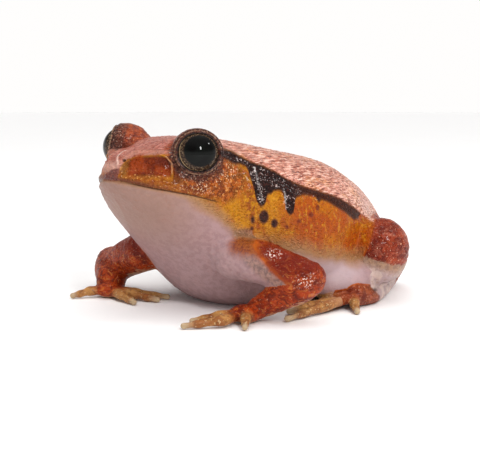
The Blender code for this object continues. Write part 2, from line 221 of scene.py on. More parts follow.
# %% [markdown]
# ## Studio
# The frog sits on a white table that runs far back to a white backdrop, so no horizon shows and only the
# soft shadow under the belly tells where the table is. A soft glow from the ceiling lights all of it
# evenly. A small soft box stands up to the camera's right, which is where the eye mirrors it and from
# where wet warts glint, and a little one to the side gives the eye its second spark.

# %% Floor
FLOOR_SIZE = 12.0
floor_mesh = bpy.data.meshes.new("floor")
half = FLOOR_SIZE / 2
corners = [(-half, -half, 0), (half, -half, 0), (half, half, 0), (-half, half, 0)]
floor_mesh.from_pydata(corners, [], [(0, 1, 2, 3)])
floor = linked("floor", floor_mesh)
floor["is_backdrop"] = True
table, table_shader, start = new_material("white_table")
feed(mixed("fdfcfc", "ffffff", clouds(millimetres(start), 0.02)), table_shader, "Base Color")
table_shader.inputs["Roughness"].default_value = 0.6
floor_mesh.materials.append(table)
print("floor of", FLOOR_SIZE, "m")

# %% Lights
world = bpy.data.worlds.new("white_room")
world.use_nodes = True
bpy.context.scene.world = world
bpy.context.scene.view_settings.view_transform = "Standard"
start = Value(world.node_tree)
upward = start.node("SeparateXYZ", None, {0: start.node("TexCoord")}, 2)
above_backdrop = upward.step(0.10, 0.34)
ceiling_glow = 0.30 + upward.step(0.5, 0.95) * 0.3
sky_shader = world.node_tree.nodes["Background"]
sky_shader.inputs["Color"].default_value = (1.0, 0.99, 0.98, 1.0)
feed((1 - above_backdrop) + above_backdrop * ceiling_glow, sky_shader, "Strength")

TOWARD_CAMERA = Vector((1, -1, 0)).normalized()
RIGHTWARD = Vector((1, 1, 0)).normalized()
HEAD = Vector((0.008, -0.028, 0.034))


def soft_box(name, right, up, toward, distance, size, watts):
    """A rectangular light that faces the head from a direction given as the camera sees it."""
    light = bpy.data.lights.new(name, "AREA")
    light.shape = "RECTANGLE"
    light.size, light.size_y = size
    light.energy = watts
    lamp = linked(name, light)
    direction = (RIGHTWARD * right + Vector((0, 0, up)) + TOWARD_CAMERA * toward).normalized()
    lamp.location = HEAD + direction * distance
    lamp.rotation_euler = direction.to_track_quat("Z", "Y").to_euler()


soft_box("key_box", right=0.30, up=0.56, toward=0.78, distance=1.0, size=(0.10, 0.26), watts=5.0)
soft_box("spark_box", right=0.72, up=0.68, toward=-0.03, distance=0.8, size=(0.07, 0.07), watts=0.6)
CEILING_STRENGTH = 1.78
CEILING_SPREAD = 80
ceiling_light = bpy.data.lights.new("ceiling", "SUN")
ceiling_light.energy = CEILING_STRENGTH
ceiling_light.angle = math.radians(CEILING_SPREAD)
ceiling = linked("ceiling", ceiling_light)
ceiling.visible_glossy = False

# %% [markdown]
# ## The body's measures
# The sizes are those of the solids, in millimetres, so that the skin lies where they do. A place is given
# as its side, how far back of the snout it lies, and its height. The trunk could be sculpted freely, but
# a short table of sections keeps it true: each row is one slice through the body.

# %% Places and smooth curves
MM = 0.001
FRONT_Y = -40.85
SIDES = {"left": 1.0, "right": -1.0}
# how far back, half the width, top, height of the widest place, bottom, squareness above that place
TRUNK = (
    (-1.8, 1.2, 32.3, 31.2, 29.9, 2.0),
    (-1.2, 2.9, 33.1, 30.6, 28.2, 2.0),
    (0.0, 5.0, 34.1, 29.8, 26.4, 2.1),
    (2.2, 8.0, 35.2, 28.8, 23.9, 2.1),
    (5.0, 10.9, 36.1, 27.9, 20.9, 2.2),
    (8.0, 13.1, 37.2, 27.2, 17.9, 2.2),
    (12.0, 15.2, 38.4, 26.2, 13.9, 2.3),
    (16.0, 16.8, 38.8, 24.8, 10.0, 2.3),
    (20.0, 18.0, 38.6, 23.2, 5.4, 2.3),
    (26.0, 20.6, 37.9, 20.8, 0.6, 2.2),
    (33.0, 23.8, 36.8, 18.6, -1.0, 2.2),
    (42.0, 26.0, 35.1, 16.8, -1.4, 2.2),
    (50.0, 25.2, 33.8, 15.9, -1.4, 2.2),
    (56.0, 23.2, 32.4, 15.2, -1.2, 2.2),
    (62.0, 20.0, 30.3, 14.8, -0.7, 2.1),
    (68.0, 16.6, 27.7, 14.4, 0.4, 2.1),
    (74.0, 12.8, 24.4, 14.2, 2.2, 2.0),
    (79.0, 9.0, 20.4, 13.8, 4.8, 2.0),
    (82.0, 5.6, 17.2, 13.2, 7.8, 2.0),
    (83.5, 2.4, 14.8, 12.8, 10.8, 2.0),
)
BELLY_SQUARENESS = 2.35
TRUNK_STEPS = 6
RING_POINTS = 96


def curved(rows, steps):
    """Rows of numbers read along a smooth curve through them, in this many steps from row to row."""
    rows = np.array(rows, float)
    before = np.vstack([rows[:1], rows, rows[-1:]])
    found = []
    for a, b, c, d in zip(before, rows, rows[1:], before[3:]):
        slope_b, slope_c = (c - a) / 2, (d - b) / 2
        for t in np.arange(steps) / steps:
            cubic = 2 * b - 2 * c + slope_b + slope_c
            square = 3 * c - 3 * b - 2 * slope_b - slope_c
            found.append(((cubic * t + square) * t + slope_b) * t + b)
    return np.array([*found, rows[-1]])


def pieces_object(name, bm):
    mesh = bpy.data.meshes.new(name)
    bm.to_mesh(mesh)
    bm.free()
    return linked(name, mesh)


def trunk_loft():
    """The trunk as rings of points from the snout to the vent, closed at both ends."""
    bm = bmesh.new()
    rings = []
    angles = 2 * np.pi * np.arange(RING_POINTS) / RING_POINTS
    c, s = np.cos(angles), np.sin(angles)
    for back, half_width, top, widest, bottom, squareness in curved(TRUNK, TRUNK_STEPS):
        power = np.where(s > 0, squareness, BELLY_SQUARENESS)
        reach = np.where(s > 0, top - widest, widest - bottom)
        side = half_width * np.sign(c) * np.abs(c) ** (2 / power)
        height = widest + reach * np.sign(s) * np.abs(s) ** (2 / power)
        rings.append([bm.verts.new((x, back, z)) for x, z in zip(side, height)])
    for one, other in zip(rings, rings[1:]):
        for i in range(RING_POINTS):
            j = (i + 1) % RING_POINTS
            bm.faces.new((one[i], one[j], other[j], other[i]))
    bm.faces.new(reversed(rings[0]))
    bm.faces.new(rings[-1])
    bmesh.ops.recalc_face_normals(bm, faces=bm.faces)
    return pieces_object("trunk", bm)


flesh = [trunk_loft()]
print("trunk rings:", len(curved(TRUNK, TRUNK_STEPS)))

# %% [markdown]
# ## Limbs and digits
# A folded leg is a chain of tapered tubes through its joints, thickest at the knee. Each finger and toe
# has two knuckles and ends in a small blunt pad. Curves with a round bevel give such tubes at once, with
# their radius set at every joint, and a ball at each end rounds them off.

# %% Tubes and balls
def ball(name, centre, radii, segments=48):
    bm = bmesh.new()
    place = Matrix.Translation(centre) @ Matrix.Diagonal((*radii, 1))
    bmesh.ops.create_uvsphere(bm, u_segments=segments, v_segments=segments // 2, radius=1, matrix=place)
    return pieces_object(name, bm)


def tube(name, joints, side, steps=10):
    """A tapered tube with round ends through joints of side, back, height and radius."""
    curve = bpy.data.curves.new(name, "CURVE")
    curve.dimensions = "3D"
    curve.bevel_depth = 1.0
    curve.bevel_resolution = 7
    curve.use_fill_caps = True
    rows = curved(joints, steps)
    spline = curve.splines.new("POLY")
    spline.points.add(len(rows) - 1)
    for point, (across, back, height, radius) in zip(spline.points, rows):
        point.co = (side * across, back, height, 1)
        point.radius = radius
    ends = [ball(name, (side * j[0], j[1], j[2]), (j[3],) * 3, 24) for j in (joints[0], joints[-1])]
    return [linked(name, curve), *ends]


# %% Limb joints: side, back, height, radius
THIGH = ((8.0, 72.0, 12.4, 6.8), (15.0, 65.6, 12.2, 6.6), (21.5, 60.0, 12.2, 6.5), (26.4, 56.0, 12.6, 7.0))
SHANK = ((26.6, 56.0, 9.2, 5.4), (23.4, 63.0, 9.2, 4.9), (18.8, 70.6, 8.6, 3.8), (15.0, 76.0, 7.0, 3.0))
TARSUS = {
    "left": ((14.8, 77.0, 4.3, 2.7), (20.4, 66.6, 2.4, 2.2), (26.4, 54.4, 2.0, 2.1), (27.2, 46.8, 2.5, 2.3)),
    "right": ((14.8, 77.0, 4.3, 2.7), (19.4, 69.0, 2.4, 2.2), (24.8, 60.0, 2.0, 2.1), (26.8, 53.4, 2.5, 2.3)),
}
UPPER_ARM = {
    "left": ((15.5, 20.5, 13, 5.2), (21.5, 21, 12.6, 4.7), (27, 22.8, 11.2, 4.2), (32.2, 24.8, 9.8, 3.7)),
    "right": ((15.5, 20.5, 11, 4.8), (21, 21.2, 9.2, 4.6), (26.8, 22.6, 7.2, 4.3), (31.8, 24, 6.2, 4.1)),
}
FOREARM = {
    "left": ((32, 24.8, 9.3, 3.7), (30, 24, 7.9, 3.8), (26.4, 22.2, 5.6, 3.2), (22.8, 20.0, 3.0, 2.5)),
    "right": ((31.6, 23.6, 6.4, 4.0), (30, 22, 5.4, 4.1), (27, 19.8, 4.8, 4.0), (23.6, 17.0, 3.6, 3.6)),
}
PALM = {"left": (21.2, 17.4, 1.9), "right": (22.0, 15.2, 1.9)}
PALM_SIZE = (3.6, 3.4, 1.9)
limb_lines = []
for word, side in SIDES.items():
    for joints in (UPPER_ARM[word], FOREARM[word], THIGH, SHANK, TARSUS[word]):
        flesh += tube("limb_" + word, joints, side)
        limb_lines.append((side, joints))
    across, back, height = PALM[word]
    flesh.append(ball("palm_" + word, (side * across, back, height), PALM_SIZE))
print("limb tubes:", len(limb_lines))

# %% Digits: knuckle's side and back, then tip's side and back
FINGERS = {
    "left": ((17.4, 18.6, 14, 20.4), (18, 13, 15, 8), (21.8, 10, 17.4, 3.4), (24.6, 14, 27.2, 11.2)),
    "right": (
        (15.6, 17.8, 9.4, 22.4), (14.6, 16.0, 8.2, 18.4), (15.4, 13.4, 9.6, 12.6), (24.6, 11.4, 26.2, 7.6),
    ),
}
TOES = {
    "left": (
        (24.0, 43.2, 20.6, 40.0), (23.6, 40.2, 20.2, 34.6), (24.6, 38.0, 22.4, 29.6),
        (27.0, 35.0, 27.4, 23.6), (30.0, 42.8, 32.8, 40.2),
    ),
    "right": (
        (23.4, 50.2, 20.2, 48.0), (22.8, 48.0, 19.6, 43.4), (23.4, 46.0, 20.2, 39.4),
        (25.6, 44.4, 22.8, 36.6), (29.4, 50.2, 32.2, 47.4),
    ),
}


def digit_joints(root, knuckle, tip):
    """A digit's rows, thick at the root and at both knuckles, thin between, and ending in a blunt pad."""
    root, tip = np.array(root[:3], float), np.array((*tip, 0.75))
    first = np.array((*knuckle, 1.55))
    last = first * 0.42 + tip * 0.58
    rows = (
        (*root, 1.5),
        (*(root * 0.5 + first * 0.5), 1.1),
        (*first, 1.2),
        (*(first * 0.5 + last * 0.5), 0.84),
        (*last, 0.92),
        (*(last * 0.45 + tip * 0.55), 0.66),
        (*tip, 0.72),
    )
    return rows


digit_lines = []
for word, side in SIDES.items():
    for root, digits in ((PALM[word], FINGERS[word]), (TARSUS[word][-1], TOES[word])):
        for places in digits:
            joints = digit_joints(root, places[:2], places[2:])
            flesh += tube("digit_" + word, joints, side, 6)
            digit_lines.append((side, joints))
print("digits:", len(digit_lines))

# %% [markdown]
# ## Eyes' lids and ridges
# A frog's eye bulges from the head as a ball wrapped in lids. From each eye a ridge runs forward to the
# nostril, and behind each a soft fold follows the edge of the back. Loose skin fills the groin, between
# belly and shank. All are laid on the trunk as balls and tubes, and will melt into it when the pieces are
# fused.

# %% Lids, canthus and back fold
EYE_PLACE = {"left": Vector((11.75, 12.6, 34.9)), "right": Vector((-11.75, 12.6, 35.7))}
EYE_RADIUS = 4.9
LID_RADIUS = EYE_RADIUS + 0.75
LID_SETBACK = 0.3
GAZE = {word: Vector((0.77 * side, -0.60, 0.2)).normalized() for word, side in SIDES.items()}
CANTHUS = ((10.2, 8.2, 34.6, 1.6), (7.7, 5.1, 34.2, 1.2), (4.9, 2.9, 34.0, 1.0), (2.5, 1.2, 33.5, 0.9))
LID_CENTRE = {word: EYE_PLACE[word] - GAZE[word] * LID_SETBACK for word in SIDES}
GROIN = ((21.0, 44.0, 5.4, 4.2), (23.6, 49.0, 6.2, 4.6), (23.4, 54.0, 7.4, 4.4))
BACK_FOLD = (
    (12.4, 23.4, 34.6, 1.0), (17.0, 28.4, 31.6, 1.2), (20.6, 36.6, 28.2, 1.2), (23.0, 44.4, 24.8, 1.1),
    (23.2, 52.0, 21.2, 0.9),
)
for word, side in SIDES.items():
    flesh.append(ball("lids_" + word, LID_CENTRE[word], (LID_RADIUS,) * 3))
    flesh += tube("canthus_" + word, CANTHUS, side)
    flesh += tube("back_fold_" + word, BACK_FOLD, side)
    flesh += tube("groin_" + word, GROIN, side)
print("pieces of flesh:", len(flesh))

# %% [markdown]
# ## One skin
# The pieces still cross one another. A sculptor would knead them together; the Remesh modifier does so by
# casting them in small voxels, which leaves one closed surface. A smoothing modifier then rounds the
# creases where limbs leave the body. The thin digits are held back from it by a vertex group, or they
# would shrink.

# %% Fuse and soften
VOXEL = 0.26
SOFTENING = 2.9
DIGIT_SOFTENING = 0.12
DIGIT_REACH = 1.8
DIGIT_BLEND = 3.4
DIGIT_ZONE = 5.0
LINE_STEPS = 8
FAR = 9.0


def fused(parts, name):
    bpy.context.view_layer.update()
    graph = bpy.context.evaluated_depsgraph_get()
    bm = bmesh.new()
    for part in parts:
        mesh = bpy.data.meshes.new_from_object(part.evaluated_get(graph))
        bm.from_mesh(mesh)
        bpy.data.meshes.remove(mesh)
        bpy.data.objects.remove(part)
    bmesh.ops.remove_doubles(bm, verts=bm.verts, dist=0.0001)
    made = pieces_object(name, bm)
    remesh = made.modifiers.new("fuse", "REMESH")
    remesh.mode = "VOXEL"
    remesh.voxel_size = VOXEL
    apply_modifiers(made)
    return made


def apply_modifiers(target):
    bpy.context.view_layer.update()
    graph = bpy.context.evaluated_depsgraph_get()
    old = target.data
    mesh = bpy.data.meshes.new_from_object(target.evaluated_get(graph))
    target.modifiers.clear()
    target.data = mesh
    bpy.data.meshes.remove(old)


def rows_of(items, key):
    found = np.empty(len(items) * 3)
    items.foreach_get(key, found)
    return found.reshape(-1, 3)


def points_of(mesh):
    return rows_of(mesh.vertices, "co")


def normals_of(mesh):
    return rows_of(mesh.vertex_normals, "vector")


def move_points(mesh, points):
    mesh.vertices.foreach_set("co", points.ravel())
    mesh.update()


def from_line(points, line, side=1):
    """How far each point lies from a smooth line, its last column at the nearest place, and its share."""
    rows = curved(line, LINE_STEPS)
    tree = KDTree(len(rows))
    for i, row in enumerate(rows):
        tree.insert((row[0] * side, row[1], row[2]), i)
    tree.balance()
    nearest = np.array([tree.find(p)[1:] for p in points])
    index = nearest[:, 0].astype(int)
    return nearest[:, 1], rows[index, -1], index / (len(rows) - 1)


def line_gap(points, line, side=1):
    return from_line(points, line, side)[0]


skin = fused(flesh, "skin")
points = points_of(skin.data)
near_floor = points[:, 2] < DIGIT_ZONE
off_digit = np.full(len(points), FAR)
for side, joints in digit_lines:
    off_digit[near_floor] = np.minimum(off_digit[near_floor], line_gap(points[near_floor], joints, side))
held = skin.vertex_groups.new(name="flesh")
shares = np.round(np.clip((off_digit - DIGIT_REACH) / DIGIT_BLEND, DIGIT_SOFTENING, 1.0), 2)
for level in np.unique(shares):
    held.add(np.flatnonzero(shares == level).tolist(), float(level), "REPLACE")
soften = skin.modifiers.new("soften", "SMOOTH")
soften.factor = 0.5
passes = round((SOFTENING / VOXEL) ** 2 * 0.65)
soften.iterations = passes
soften.vertex_group = "flesh"
apply_modifiers(skin)
print("skin points:", len(skin.data.vertices), "after", passes, "passes")

# %% [markdown]
# ## Finer mesh round the eyes
# The lids' rims are less than half a millimetre thick, and the mouth and nostrils are as fine. A finer
# mesh everywhere would be wasteful, so only the faces of the front of the head are divided once more.

# %% Divide the face
def divide_near(target, wanted):
    """Divides the faces all of whose points are wanted."""
    bm = bmesh.new()
    bm.from_mesh(target.data)
    faces = [f for f in bm.faces if all(wanted[v.index] for v in f.verts)]
    edges = {e for f in faces for e in f.edges}
    bmesh.ops.subdivide_edges(bm, edges=list(edges), cuts=1, use_grid_fill=True, smooth=0.0)
    bmesh.ops.triangulate(bm, faces=[f for f in bm.faces if len(f.verts) > 4])
    bm.to_mesh(target.data)
    bm.free()


def lengths(vectors):
    return np.linalg.norm(vectors, axis=1)


def eye_distance(points):
    return np.minimum(*[lengths(points - np.array(EYE_PLACE[word])) for word in SIDES])


points = points_of(skin.data)
FACE_BACK, FACE_LOW = 9.0, 26.5
EYE_ZONE = 8.5
on_face = (points[:, 1] < FACE_BACK) & (points[:, 2] > FACE_LOW)
divide_near(skin, (eye_distance(points) < EYE_ZONE) | on_face)
print("skin points after dividing:", len(skin.data.vertices))

# %% [markdown]
# ## Sculpting in code
# A modelling brush pushes the skin in or out along its normal, less and less towards the brush's edge.
# The same can be done for every fold at once with arrays: a bell-shaped falloff of the distance to a line
# or a place, times a depth in millimetres.

# %% Brushes
def bell(distance, width):
    return np.exp(-((distance / width) ** 2))


def rise(values, low, high):
    """0 below low, 1 above high and a smooth rise between; low may be the larger, for a fall."""
    t = np.clip((values - low) / (high - low), 0.0, 1.0)
    return t * t * (3 - 2 * t)


def folded_left(points):
    """The points with those of the right side mirrored onto the left."""
    return np.column_stack([np.abs(points[:, 0]), points[:, 1:]])


def at_spot(points, place, width):
    """A bell round one place."""
    return np.exp(-(((points - place) / width) ** 2).sum(axis=1))


def at_place(points, place, width):
    """A bell round a place given for the left side, felt on both sides."""
    return at_spot(folded_left(points), place, width)


def along_line(points, line, width, where):
    """A bell round a smooth line given for the left side, felt on both sides among the chosen points."""
    found = np.zeros(len(points))
    found[where] = bell(line_gap(folded_left(points[where]), line), width)
    return found


print("a brush at its middle, edge and two widths out:", bell(np.arange(3), 1.0).round(3))


# %% Mouth line: how far back, and the height
MOUTH = ((-1.9, 29.85), (-1.0, 29.5), (2.8, 28.25), (9.1, 26.75), (14.0, 25.3), (17.0, 24.3))
points = points_of(skin.data)
normals = normals_of(skin.data)
back, height = points[:, 1], points[:, 2]
along = np.abs(points[:, 0]) + back
above_mouth = height - np.interp(back, *np.array(MOUTH).T)
mouth_share = rise(back, 15.4, 13.2)
groove_share = mouth_share * rise(back, 1.0, 5.0)
MOUTH_RELIEF = (
    (-0.34, 0.0, 0.2, mouth_share), (0.20, 0.8, 0.55, mouth_share), (0.12, -0.8, 0.6, mouth_share),
    (-0.2, 2.0, 0.7, groove_share),
)
push = np.zeros(len(points))
for depth, above, width, share in MOUTH_RELIEF:
    push += depth * bell(above_mouth - above, width) * share
print("mouth line from", MOUTH[0], "to", MOUTH[-1])

# %% The panel between nostril and eye: side plus back, and the height of its sharp upper edge
PANEL_TOP = np.array((
    (1.8, 32.2), (2.9, 33.3), (3.8, 33.9), (4.9, 34.35), (6.2, 34.7), (7.8, 34.9), (10.7, 35.0),
    (17.5, 35.1),
))
FOLD = np.array(((29.5, 17.0), (30.8, 17.2), (32.2, 17.25), (33.4, 16.9), (34.4, 15.9), (35.2, 14.6)))
PANEL_CORNER = 1.5
PANEL_LOW = 30.3
PANEL_FRONT = 2.4
OUTSIDE = -3.0
below_ridge = np.interp(along, *PANEL_TOP.T) - height
before_fold = np.interp(height, *FOLD.T) - along
corner = np.hypot(*[np.maximum(PANEL_CORNER - gap, 0.0) for gap in (below_ridge, before_fold)])
in_panel = np.minimum(PANEL_CORNER - corner, np.minimum(height - PANEL_LOW, along - PANEL_FRONT))
in_panel = np.where(back < FACE_BACK, in_panel, OUTSIDE)
front = rise(back, 9.0, 7.5) * rise(height, 29.4, 30.8)
push += front * 0.34 * bell(below_ridge + 0.55, 0.5) * rise(along, 2.0, 4.0)
push -= front * 0.5 * rise(in_panel, -0.05, 0.55) * (0.5 + 0.5 * rise(height, 30.6, 33.0))
push += front * 0.34 * bell(before_fold, 0.26) * rise(height, 34.8, 33.9)
push -= front * 0.42 * bell(before_fold + 1.1, 0.6) * rise(height, 35.2, 34.2)
print("points in the panel:", int((in_panel > 0).sum()))

# %% Ridges and hollows of the head
CURL = ((-0.4, 3.4, 14.1), (0.0, 1.6, 13.8), (0.9, 0.2, 13.5), (2.1, -0.6, 13.2))
FLATTER = (1, 1, 0.4)
curl_gap = line_gap(points * FLATTER, CURL)
push += 0.30 * bell(curl_gap, 0.4)
HOLLOWS = (
    (0.5, (0.0, 13.5, 38.4), (4.2, 7.0, 3.0)),
    (0.45, (5.6, 8.6, 36.2), (2.0, 3.4, 1.6)),
    (0.22, (16.4, 18.6, 29.0), (1.6, 1.9, 2.0)),
)
for depth, spot, width in HOLLOWS:
    push -= depth * at_place(points, spot, width)
push -= 0.5 * at_spot(points, (-8.2, 7.2, 36.0), (2.2, 2.6, 1.2))
EAR_FOLD = (
    (15.3, 20.0, 32.6), (16.6, 21.7, 31.0), (17.8, 22.3, 28.8), (18.5, 22.1, 26.0), (19.2, 21.8, 22.6),
)
push += 0.28 * along_line(points, EAR_FOLD, 0.5, back < 30)
THROAT_FOLD = ((-0.6, 0.6, 26.8), (-0.9, 1.7, 25.1), (-2.0, 4.2, 22.5), (-5.6, 8.8, 18.2))
push += 0.25 * bell(line_gap(points, THROAT_FOLD), 0.5)
print("points on the curled ridge:", int((curl_gap < 0.5).sum()))

# %% Folds along the back and flanks
SIDE_RIDGE = (
    (13.4, 22.0, 34.7), (15.8, 25.0, 33.0), (18.4, 28.8, 31.3), (20.6, 32.6, 28.9),
    (22.6, 38.0, 26.9), (24.0, 43.8, 24.9), (24.4, 49.6, 22.3), (22.6, 56.5, 19.4),
)
SHOULDER_FOLD = ((19.6, 17.4, 16.4), (22.4, 18.2, 16.2), (25.2, 19.4, 15.7), (28.0, 21.6, 15.2))
DRIP_FOLD = ((16.5, 24.8, 31.8), (17.4, 24.4, 30.2), (18.3, 24.1, 28.5), (19.4, 24.2, 25.2))
SECOND_DRIP = ((20.5, 29.6, 27.2), (21.2, 29.4, 25.8), (21.5, 29.1, 24.1), (21.7, 28.9, 23.2))
LEG_FOLD = ((28.2, 52.2, 3.4), (28.8, 54.4, 4.2), (29.6, 56.2, 4.9), (30.4, 57.8, 5.8))
FOLDS = (
    (0.30, SIDE_RIDGE, 0.9), (-0.24, np.array(SIDE_RIDGE) + (0.7, 0, -1.6), 0.9),
    (0.30, SHOULDER_FOLD, 0.8), (-0.26, np.array(SHOULDER_FOLD) + (0.6, 0, -1.5), 0.7),
    (0.26, DRIP_FOLD, 0.45), (0.2, SECOND_DRIP, 0.4),
)
body = (back > 14) & (height > 8)
for depth, line, width in FOLDS:
    push += depth * along_line(points, line, width, body)
leg_fold_gap = line_gap(points, LEG_FOLD)
push -= 0.45 * bell(leg_fold_gap, 0.6)
print("points of the body's folds:", int(body.sum()))

# %% [markdown]
# ## Small relief
# Tomato frog skin is covered in fine warts: coarse on the back, cheeks and thighs, flatter on the belly.
# The smallest are left to the material, but a gentle unevenness in the mesh keeps the outline from
# looking turned.

# %% Warts and creases from noise
def uneven(points, grain, stretch=(1, 1, 1)):
    """Smooth noise between -1 and 1, with lumps about this many millimetres wide."""
    return np.array([noise.noise(p) for p in points * np.array(stretch) / grain])


def pebbles(points, grain, stretch):
    """Rounded bumps packed side by side, from 0 in the gaps to 1 on top."""
    placed = points * np.array(stretch) / grain
    return np.clip(1.1 - 1.3 * np.array([noise.voronoi(p)[0][0] for p in placed]), 0, 1) ** 1.5


LIMBS_BELOW = 24
LIMB_KINDS = 5
UPPER_ARM_KIND, THIGH_KIND, SHANK_KIND, FOOT_KIND = 0, 2, 3, 4


def limb_gap(points):
    """How many limb radii each point lies from the nearest limb's middle line, and that limb's kind."""
    nearest = np.full(len(points), FAR)
    kind = np.zeros(len(points), int)
    low = points[:, 2] < LIMBS_BELOW
    for i, (side, joints) in enumerate(limb_lines):
        close = np.flatnonzero(low & (points[:, 0] * side > 5))
        away, radius, _ = from_line(points[close], joints, side)
        ratio = away / radius
        nearer = ratio < nearest[close]
        nearest[close[nearer]] = ratio[nearer]
        kind[close[nearer]] = i % LIMB_KINDS
    return nearest, kind


limb_ratio, limb_kind = limb_gap(points)
on_limb = rise(limb_ratio, 1.5, 1.08)
warty = rise(height, 21.0, 27.0)
warty = np.maximum(warty, on_limb * rise(height, 5.0, 9.0) * 0.7)
push += (0.03 + 0.11 * warty) * pebbles(points, 0.95, (1, 0.7, 1))
push += 0.08 * uneven(points, 2.6)
push += 0.12 * on_limb * uneven(points, 1.5, (1, 1, 2.2))
loose = rise(back, 24, 30) * (1 - on_limb) * rise(height, 26, 20)
push += 0.16 * loose * uneven(points, 3.2, (1, 1, 0.4))
push += 0.07 * rise(back, 12, 2) * (above_mouth < 0) * uneven(points, 1.4, (1, 0.5, 1))
points += normals * push[:, None]
print("deepest and highest push in mm:", round(push.min(), 2), round(push.max(), 2))

# %% [markdown]
# ## Lids
# The lids' opening is an ellipse that faces where the eye looks. Inside it the skin sinks behind the
# eyeball, at its edge it rises in a fine rim, and a shallow furrow runs round outside. Cutting the hole
# with a Boolean would leave a hard edge, so each point near the eye is moved in or out along the line to
# the lids' centre.

# %% Shape the lids
LID_OPENING = (4.6, 4.32)
LID_REACH = 7.5
SOCKET_DEPTH = 1.5


def eye_measures(points, word):
    """Each point's offset and distance from the lids' centre, its share of their opening and its turn."""
    offset = points - np.array(LID_CENTRE[word])
    distance = lengths(offset)
    upward = Vector((0, 0, 1))
    across = upward.cross(GAZE[word]).normalized()
    upward = GAZE[word].cross(across)
    ways = offset / distance[:, None]
    u, v, w = (ways @ np.array(axis) for axis in (across, upward, GAZE[word]))
    ratio = np.hypot(u / LID_OPENING[0], v / LID_OPENING[1]) * LID_RADIUS
    return offset, distance, np.where(w > 0, ratio, FAR), np.arctan2(v, u)


lid_ratio = np.full(len(points), FAR)
for word in SIDES:
    offset, distance, ratio, turn = eye_measures(points, word)
    near = distance < LID_REACH
    ratio = np.where(near, ratio, FAR)
    wanted = LID_RADIUS - SOCKET_DEPTH * rise(ratio, 1.01, 0.93)
    wanted += 0.10 * bell(ratio - 1.04, 0.035) - 0.14 * bell(ratio - 1.10, 0.03)
    wanted += 0.12 * bell(ratio - 1.17, 0.04) * rise(np.sin(turn), -0.9, 0.2)
    beyond = rise(distance, 6.0, 6.8) * rise(ratio, 1.03, 1.12)
    hold = rise(ratio, 1.42, 1.12) * near * (1 - beyond)
    moved = distance + (wanted - distance) * hold
    points += offset / distance[:, None] * (moved - distance)[:, None]
    lid_ratio = np.minimum(lid_ratio, ratio)
print("points inside the lids:", int((lid_ratio < 1).sum()))

# %% Nostrils and the flats on the floor
NOSTRIL = (2.7, 0.4, 33.9)
mirrored = folded_left(points)
nostril = mirrored[lengths(mirrored - NOSTRIL).argmin()]
nostril_gap = lengths((mirrored - nostril) * (1, 1, 1.35))
normals = normals_of(skin.data)
points += normals * (0.14 * bell(nostril_gap - 0.85, 0.3) - 0.7 * bell(nostril_gap, 0.4))[:, None]
points[:, 2] = np.maximum(points[:, 2], 0.0)
move_points(skin.data, points)
print("skin's box in mm:", (points.max(0) - points.min(0)).round(1))

# %% [markdown]
# ## Markings
# A painter would first pencil in where each colour ends. Here each border is a number on every point of
# the skin: how many millimetres inside a marking the point lies. The material turns these into colour,
# and can roughen each border as it does.

# %% Borders of the back, the black band and the belly: side plus back, and the height
BACK_EDGE = np.array((
    (-4, 29.4), (1.2, 29.6), (1.8, 32.1), (2.9, 33.2), (3.8, 33.8), (4.9, 34.25), (6.2, 34.6),
    (7.8, 34.8), (13.7, 35.0), (18.4, 35.4), (24, 36.6), (30.5, 36.3), (32.7, 35.8), (34.6, 35.3),
    (37.0, 34.4), (40.7, 33.0), (44.1, 32.2), (47.2, 31.1), (51.1, 29.4), (54.5, 28.2), (57.3, 27.4),
    (60.8, 26.6), (64.8, 25.6), (67.9, 24.7), (70.6, 23.6), (73.5, 22.2), (75.3, 21.0), (79, 19.0),
    (84, 17.6), (90, 16.4), (100, 15.0),
))
BAND_EDGE = np.array((
    (30.4, 35.6), (31.6, 34.5), (34.6, 33.1), (35.6, 32.8), (37.0, 32.8), (38.6, 32.4), (39.5, 31.4),
    (40.1, 30.0), (41.1, 27.8), (41.9, 25.4), (42.5, 24.4), (43.3, 23.9), (44.2, 24.1), (44.8, 24.8),
    (45.1, 26.2), (45.8, 26.4), (46.4, 26.4), (47.2, 27.0), (48.6, 27.1), (49.8, 26.8), (50.4, 26.0),
    (50.7, 24.0), (51.1, 22.7), (51.8, 22.0), (52.6, 21.9), (53.3, 22.4), (53.6, 23.4), (53.8, 25.2),
    (54.6, 25.6), (56.5, 25.9), (59.1, 25.7), (60.5, 25.2), (61.0, 24.4), (61.6, 24.2), (62.1, 24.7),
    (64.0, 24.3), (67.1, 22.9), (70.0, 21.6), (72.0, 20.4), (73.6, 19.6), (75.0, 19.7), (75.9, 20.6),
    (76.6, 22.5),
))
BELLY_EDGE = np.array((
    (-3, 29.8), (2, 28.6), (8, 27.6), (14, 26.9), (21, 25.8), (24.4, 24.3), (28.2, 22.5), (31.7, 20.5),
    (34.1, 18.7), (36.5, 16.4), (40, 15.2), (44, 15.2), (50, 14.8), (55.3, 14.2), (61.8, 12.8),
    (66.8, 12), (72, 11), (76, 10.8), (110, 10.5),
))
back, height = points[:, 1], points[:, 2]
other_side = rise(-points[:, 0], 0.0, 4.0)
along = np.abs(points[:, 0]) + back
wave = 1.3 * other_side * np.sin(along * 0.6 + 1.0)
above_back_edge = height - np.interp(along, *BACK_EDGE.T)
above_band_edge = height - np.interp(along + wave, *BAND_EDGE.T) + wave * 0.5
above_belly_edge = height - np.interp(along, *BELLY_EDGE.T)
lip_share = rise(back, 10.0, 3.0)
above_belly_edge += lip_share * ((above_mouth + 0.3) * 3.0 - above_belly_edge)
on_flank = rise(np.abs(points[:, 0]), 9.0, 10.5)
above_band_edge = np.where(on_flank > 0.5, above_band_edge, OUTSIDE)
print("points in the black band:", int(((above_band_edge > 0) & (above_back_edge < 0)).sum()))

